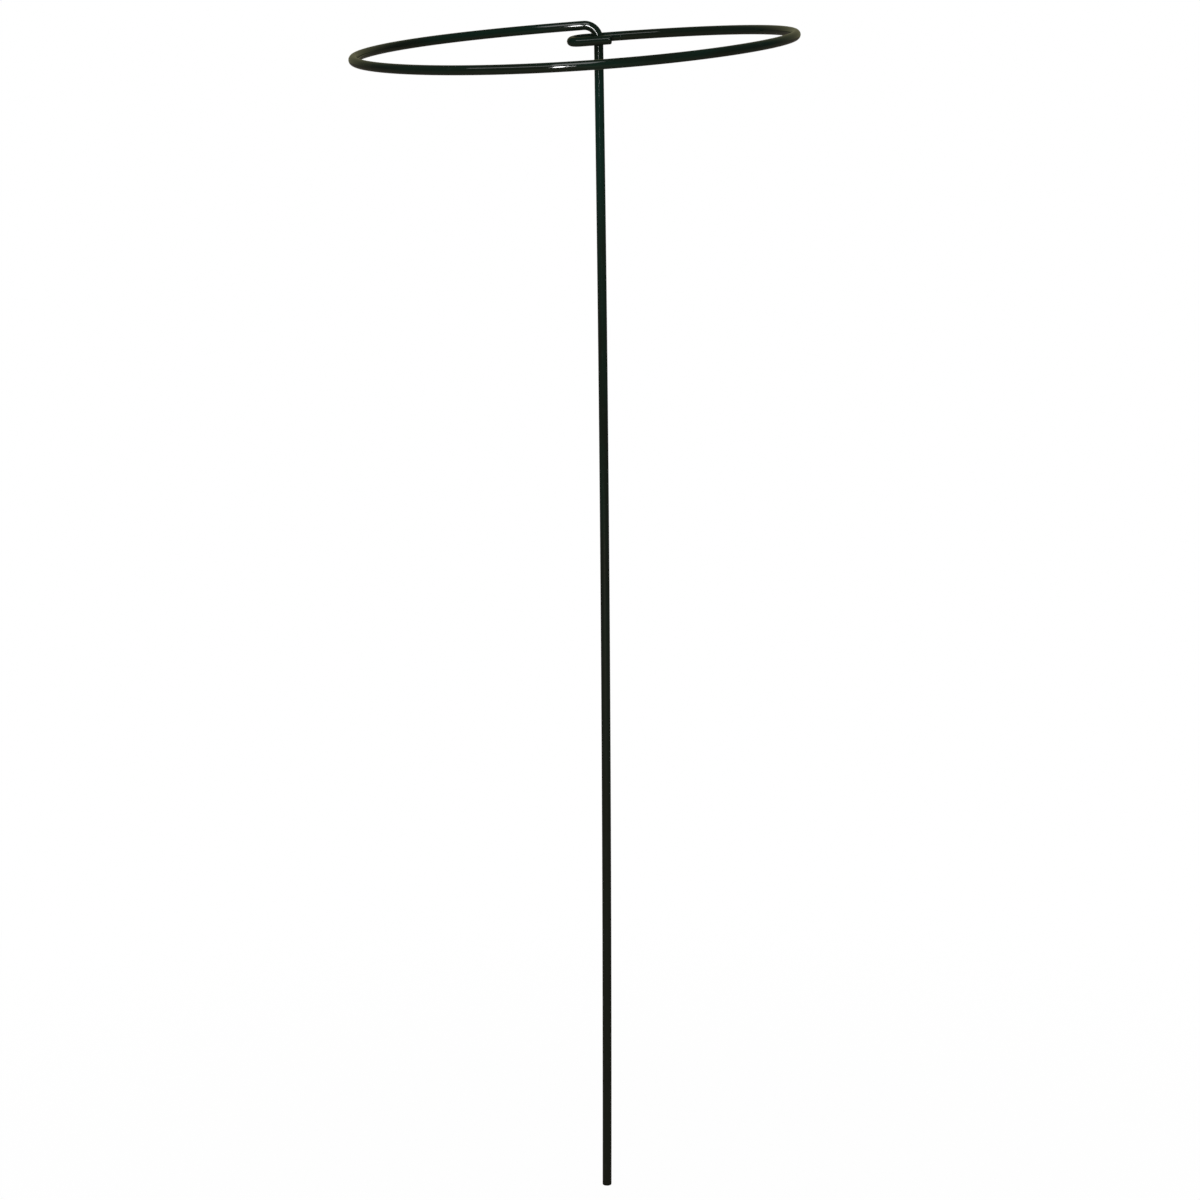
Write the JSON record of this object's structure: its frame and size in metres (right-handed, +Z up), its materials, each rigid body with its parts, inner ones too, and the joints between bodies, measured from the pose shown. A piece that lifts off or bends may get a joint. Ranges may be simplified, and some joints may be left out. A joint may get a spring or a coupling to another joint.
{
  "type": "plant support",
  "caption": "Single-stem garden plant support of plastic-coated steel wire: a straight stake whose top bends into a springy ring, closed by a hook that grips the stake.",
  "frame": {"origin": "middle of the flat on the stake's lower end", "axes": "+Z up the stake, the ring lies towards -Y, and +X is to the right as seen from the ring's side"},
  "size_m": [0.232, 0.2393, 0.6528],
  "materials": {
    "green_coating": "smooth glossy plastic dip coating, very dark green",
    "steel_core": "drawn steel wire, closed in by the coating"
  },
  "bodies": {
    "stake": {"stake_tip_seal": "green_coating", "stake_coating": "green_coating", "stake_wire": "steel_core", "neck_coating": "green_coating", "neck_wire": "steel_core", "ring_left_rear_coating": "green_coating", "ring_left_rear_wire": "steel_core"},
    "left_front": {"ring_left_front_coating": "green_coating", "ring_left_front_wire": "steel_core"},
    "front": {"ring_front_coating": "green_coating", "ring_front_wire": "steel_core"},
    "right_front": {"ring_right_front_coating": "green_coating", "ring_right_front_wire": "steel_core"},
    "hook": {"ring_right_rear_coating": "green_coating", "ring_right_rear_wire": "steel_core", "hook_coating": "green_coating", "hook_wire": "steel_core", "hook_tip_seal": "green_coating"}
  },
  "joints": [
    {"name": "left_flex", "type": "hinge", "parent": "stake", "child": "left_front", "pos_m": [-0.12417, -0.09347, 0.6394], "axis": [-0.0645, 0, 0.9979], "range_deg": [-0.85, 3.7], "stiffness_Nm_per_rad": 15.9},
    {"name": "ring_squeeze", "type": "hinge", "parent": "left_front", "child": "front", "pos_m": [-0.05113, -0.21994, 0.64151], "axis": [-0.0645, 0, 0.9979], "range_deg": [-1.25, 5.6], "stiffness_Nm_per_rad": 15.9},
    {"name": "ring_twist", "type": "hinge", "parent": "front", "child": "right_front", "pos_m": [0.02647, -0.21994, 0.64574], "axis": [0.9379, 0.342, 0.0575], "range_deg": [-2.5, 0.4], "stiffness_Nm_per_rad": 5.8, "springref_deg": 0.4},
    {"name": "right_flex", "type": "hinge", "parent": "right_front", "child": "hook", "pos_m": [0.08587, -0.16999, 0.64955], "axis": [-0.0645, 0, 0.9979], "range_deg": [-0.75, 3.25], "stiffness_Nm_per_rad": 15.9}
  ],
  "couplings": [
    {"joint": "left_flex", "follows": "ring_squeeze", "ratio": 0.6027},
    {"joint": "right_flex", "follows": "ring_squeeze", "ratio": 0.5353}
  ]
}
